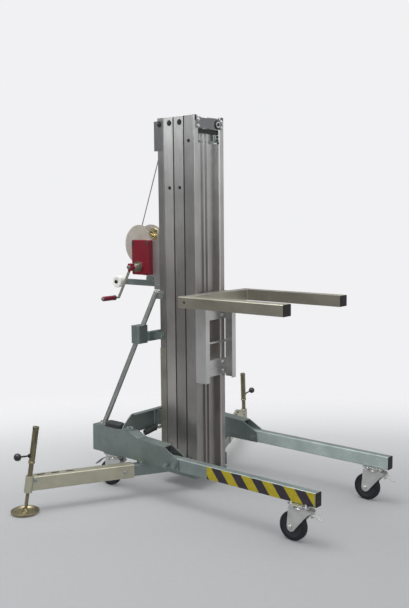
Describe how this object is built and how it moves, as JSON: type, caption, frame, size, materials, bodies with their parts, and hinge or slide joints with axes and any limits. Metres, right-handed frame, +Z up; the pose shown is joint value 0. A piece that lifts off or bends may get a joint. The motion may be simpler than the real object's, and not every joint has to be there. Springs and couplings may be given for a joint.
{
  "type": "portable mast lift",
  "caption": "Portable material lift: telescoping aluminium mast with fork carriage, hand winch, fold-up front legs, swivel casters and sliding outriggers with drop jacks.",
  "frame": {"origin": "on the floor, under the middle of the lift's bounding box", "axes": "+X the way the forks and the front legs point, +Y the lift's left side, +Z up"},
  "size_m": [1.365, 1.7936, 1.824],
  "materials": {
    "mast_aluminium": "mill finish extrusion",
    "zinc_plate": "zinc plated steel, blue-grey",
    "painted_forks": "zinc plated steel, olive-grey",
    "zinc_tube": "zinc plated steel tube",
    "outrigger_plate": "yellow-olive zinc plated steel",
    "caster_steel": "pressed zinc plated steel",
    "rear_pedal": "black",
    "tyre": "black solid tyre",
    "nylon": "white nylon",
    "winch_red": "dark red enamel",
    "grip_red": "red plastic",
    "drum_steel": "zinc plated steel, grey-olive",
    "yellow_zinc": "yellow chromate zinc",
    "black_plastic": "black ball knob",
    "bumper_rubber": "black rubber",
    "fastener": "zinc plated",
    "cable": "galvanised wire rope"
  },
  "bodies": {
    "base": {"side_bracket_left": "zinc_plate", "side_bracket_right": "zinc_plate", "cross_member": "zinc_plate", "mast_foot": "zinc_plate", "mast_stage_a": "mast_aluminium", "braces": "zinc_tube", "brace_cross_bar": "zinc_plate", "roller_arms": "zinc_plate", "winch_frame": "zinc_plate", "winch_gear_housing": "winch_red", "winch_cable": "cable", "top_pulley_block": "zinc_plate", "frame_fasteners": "fastener", "bracket_bumpers": "bumper_rubber", "rear_caster_plates": "caster_steel", "outrigger_stubs": "zinc_plate"},
    "stage_b": {"mast_stage_b": "mast_aluminium", "guide_shoes_b": "nylon"},
    "stage_c": {"mast_stage_c": "mast_aluminium", "guide_shoes_c": "nylon"},
    "stage_d": {"mast_stage_d": "mast_aluminium", "guide_shoes_d": "nylon", "mast_head_bracket": "zinc_plate"},
    "head_pulley": {"head_pulley": "nylon"},
    "top_pulley": {"top_pulley": "nylon"},
    "carriage": {"carriage_frame": "zinc_plate", "guide_shoes_carriage": "nylon", "fork_frame": "painted_forks"},
    "drum": {"winch_drum": "drum_steel"},
    "crank": {"pinion_shaft": "drum_steel", "winch_crank": "winch_red"},
    "grip": {"crank_grip": "grip_red"},
    "pawl": {"winch_pawl": "yellow_zinc"},
    "loading_rollers": {"loading_rollers": "nylon"},
    "front_leg_right": {"front_leg_right": "zinc_tube", "front_caster_plate_right": "caster_steel"},
    "leg_lock_pin_right": {"leg_lock_pin_right": "fastener"},
    "caster_front_right": {"caster_fork_front_right": "caster_steel"},
    "wheel_front_right": {"caster_wheel_front_right": "tyre"},
    "pedal_front_right": {"brake_pedal_front_right": "caster_steel"},
    "caster_rear_right": {"caster_fork_rear_right": "caster_steel"},
    "wheel_rear_right": {"caster_wheel_rear_right": "tyre"},
    "pedal_rear_right": {"brake_pedal_rear_right": "rear_pedal"},
    "outrigger_right": {"outrigger_beam_right": "outrigger_plate"},
    "jack_right": {"jack_post_right": "yellow_zinc"},
    "pad_right": {"jack_foot_right": "yellow_zinc"},
    "knob_right": {"jack_knob_right": "black_plastic"},
    "front_leg_left": {"front_leg_left": "zinc_tube", "front_caster_plate_left": "caster_steel"},
    "leg_lock_pin_left": {"leg_lock_pin_left": "fastener"},
    "caster_front_left": {"caster_fork_front_left": "caster_steel"},
    "wheel_front_left": {"caster_wheel_front_left": "tyre"},
    "pedal_front_left": {"brake_pedal_front_left": "caster_steel"},
    "caster_rear_left": {"caster_fork_rear_left": "caster_steel"},
    "wheel_rear_left": {"caster_wheel_rear_left": "tyre"},
    "pedal_rear_left": {"brake_pedal_rear_left": "rear_pedal"},
    "outrigger_left": {"outrigger_beam_left": "outrigger_plate"},
    "jack_left": {"jack_post_left": "yellow_zinc"},
    "pad_left": {"jack_foot_left": "yellow_zinc"},
    "knob_left": {"jack_knob_left": "black_plastic"}
  },
  "joints": [
    {"name": "stage_b_slide", "type": "slide", "parent": "base", "child": "stage_b", "axis": [0, 0, 1], "range_m": [0, 1.2]},
    {"name": "stage_c_slide", "type": "slide", "parent": "stage_b", "child": "stage_c", "axis": [0, 0, 1], "range_m": [0, 1.2]},
    {"name": "stage_d_slide", "type": "slide", "parent": "stage_c", "child": "stage_d", "axis": [0, 0, 1], "range_m": [0, 1.2]},
    {"name": "carriage_slide", "type": "slide", "parent": "stage_d", "child": "carriage", "axis": [0, 0, 1], "range_m": [-0.48, 0.78]},
    {"name": "drum_spin", "type": "hinge", "parent": "base", "child": "drum", "pos_m": [-0.5245, 0, 1.208], "axis": [0, -1, 0], "range_deg": [-490, 792]},
    {"name": "crank_spin", "type": "hinge", "parent": "base", "child": "crank", "pos_m": [-0.4805, 0, 1.1], "axis": [0, -1, 0], "range_deg": [-3940, 2426]},
    {"name": "top_pulley_spin", "type": "hinge", "parent": "base", "child": "top_pulley", "pos_m": [-0.3625, -0.05, 1.73], "axis": [0, -1, 0], "range_deg": [-1063, 1724]},
    {"name": "head_pulley_spin", "type": "hinge", "parent": "stage_d", "child": "head_pulley", "pos_m": [-0.1735, 0, 1.786], "axis": [0, -1, 0], "range_deg": [-1176, 1907]},
    {"name": "grip_spin", "type": "hinge", "parent": "crank", "child": "grip", "pos_m": [-0.5705, 0, 0.9446], "axis": [0, 1, 0], "continuous": true},
    {"name": "pawl_pivot", "type": "hinge", "parent": "base", "child": "pawl", "pos_m": [-0.3995, 0, 1.252], "axis": [0, 1, 0], "range_deg": [0, 20]},
    {"name": "loading_roller_spin", "type": "hinge", "parent": "base", "child": "loading_rollers", "pos_m": [-0.6525, 0, 1.015], "axis": [0, 1, 0], "continuous": true},
    {"name": "leg_fold_right", "type": "hinge", "parent": "base", "child": "front_leg_right", "pos_m": [-0.0845, -0.311, 0.196], "axis": [0, -1, 0], "range_deg": [0, 90]},
    {"name": "lock_pin_slide_right", "type": "slide", "parent": "base", "child": "leg_lock_pin_right", "axis": [0, 1, 0], "range_m": [0, 0.012]},
    {"name": "swivel_front_right", "type": "hinge", "parent": "front_leg_right", "child": "caster_front_right", "pos_m": [0.6051, -0.314, 0.16], "axis": [0, 0, 1], "continuous": true},
    {"name": "wheel_spin_front_right", "type": "hinge", "parent": "caster_front_right", "child": "wheel_front_right", "pos_m": [0.5651, -0.314, 0.0625], "axis": [0, 1, 0], "continuous": true},
    {"name": "pedal_press_front_right", "type": "hinge", "parent": "caster_front_right", "child": "pedal_front_right", "pos_m": [0.6271, -0.314, 0.139], "axis": [0, 1, 0], "range_deg": [0, 20]},
    {"name": "swivel_rear_right", "type": "hinge", "parent": "base", "child": "caster_rear_right", "pos_m": [-0.5105, -0.306, 0.16], "axis": [0, 0, 1], "continuous": true},
    {"name": "wheel_spin_rear_right", "type": "hinge", "parent": "caster_rear_right", "child": "wheel_rear_right", "pos_m": [-0.5505, -0.306, 0.0625], "axis": [0, 1, 0], "continuous": true},
    {"name": "pedal_press_rear_right", "type": "hinge", "parent": "caster_rear_right", "child": "pedal_rear_right", "pos_m": [-0.5345, -0.306, 0.139], "axis": [0, -1, 0], "range_deg": [0, 13]},
    {"name": "outrigger_slide_right", "type": "slide", "parent": "base", "child": "outrigger_right", "axis": [-0.4772, -0.8788, 0], "range_m": [0, 0.2]},
    {"name": "jack_slide_right", "type": "slide", "parent": "outrigger_right", "child": "jack_right", "axis": [0.0738, 0.136, 0.988], "range_m": [-0.05, 0.06]},
    {"name": "knob_pull_right", "type": "slide", "parent": "jack_right", "child": "knob_right", "axis": [0.005, -0.9907, 0.136], "range_m": [0, 0.01], "stiffness_N_per_m": 400, "springref_m": -0.01},
    {"name": "pad_turn_right", "type": "hinge", "parent": "jack_right", "child": "pad_right", "pos_m": [-0.5649, -0.82963, 0.01581], "axis": [0, 0, 1], "continuous": true},
    {"name": "leg_fold_left", "type": "hinge", "parent": "base", "child": "front_leg_left", "pos_m": [-0.0845, 0.311, 0.196], "axis": [0, -1, 0], "range_deg": [0, 90]},
    {"name": "lock_pin_slide_left", "type": "slide", "parent": "base", "child": "leg_lock_pin_left", "axis": [0, -1, 0], "range_m": [0, 0.012]},
    {"name": "swivel_front_left", "type": "hinge", "parent": "front_leg_left", "child": "caster_front_left", "pos_m": [0.6051, 0.314, 0.16], "axis": [0, 0, 1], "continuous": true},
    {"name": "wheel_spin_front_left", "type": "hinge", "parent": "caster_front_left", "child": "wheel_front_left", "pos_m": [0.5651, 0.314, 0.0625], "axis": [0, 1, 0], "continuous": true},
    {"name": "pedal_press_front_left", "type": "hinge", "parent": "caster_front_left", "child": "pedal_front_left", "pos_m": [0.6271, 0.314, 0.139], "axis": [0, 1, 0], "range_deg": [0, 20]},
    {"name": "swivel_rear_left", "type": "hinge", "parent": "base", "child": "caster_rear_left", "pos_m": [-0.5105, 0.306, 0.16], "axis": [0, 0, 1], "continuous": true},
    {"name": "wheel_spin_rear_left", "type": "hinge", "parent": "caster_rear_left", "child": "wheel_rear_left", "pos_m": [-0.5505, 0.306, 0.0625], "axis": [0, 1, 0], "continuous": true},
    {"name": "pedal_press_rear_left", "type": "hinge", "parent": "caster_rear_left", "child": "pedal_rear_left", "pos_m": [-0.5345, 0.306, 0.139], "axis": [0, -1, 0], "range_deg": [0, 13]},
    {"name": "outrigger_slide_left", "type": "slide", "parent": "base", "child": "outrigger_left", "axis": [-0.4772, 0.8788, 0], "range_m": [0, 0.2]},
    {"name": "jack_slide_left", "type": "slide", "parent": "outrigger_left", "child": "jack_left", "axis": [0.0738, -0.136, 0.988], "range_m": [-0.05, 0.06]},
    {"name": "knob_pull_left", "type": "slide", "parent": "jack_left", "child": "knob_left", "axis": [0.005, 0.9907, 0.136], "range_m": [0, 0.01], "stiffness_N_per_m": 400, "springref_m": -0.01},
    {"name": "pad_turn_left", "type": "hinge", "parent": "jack_left", "child": "pad_left", "pos_m": [-0.5649, 0.82963, 0.01581], "axis": [0, 0, 1], "continuous": true}
  ],
  "couplings": [
    {"joint": "drum_spin", "follows": "carriage_slide", "rad_per_m": 17.606},
    {"joint": "crank_spin", "follows": "carriage_slide", "rad_per_m": -88.028},
    {"joint": "top_pulley_spin", "follows": "carriage_slide", "rad_per_m": 38.462},
    {"joint": "head_pulley_spin", "follows": "carriage_slide", "rad_per_m": 42.553}
  ]
}
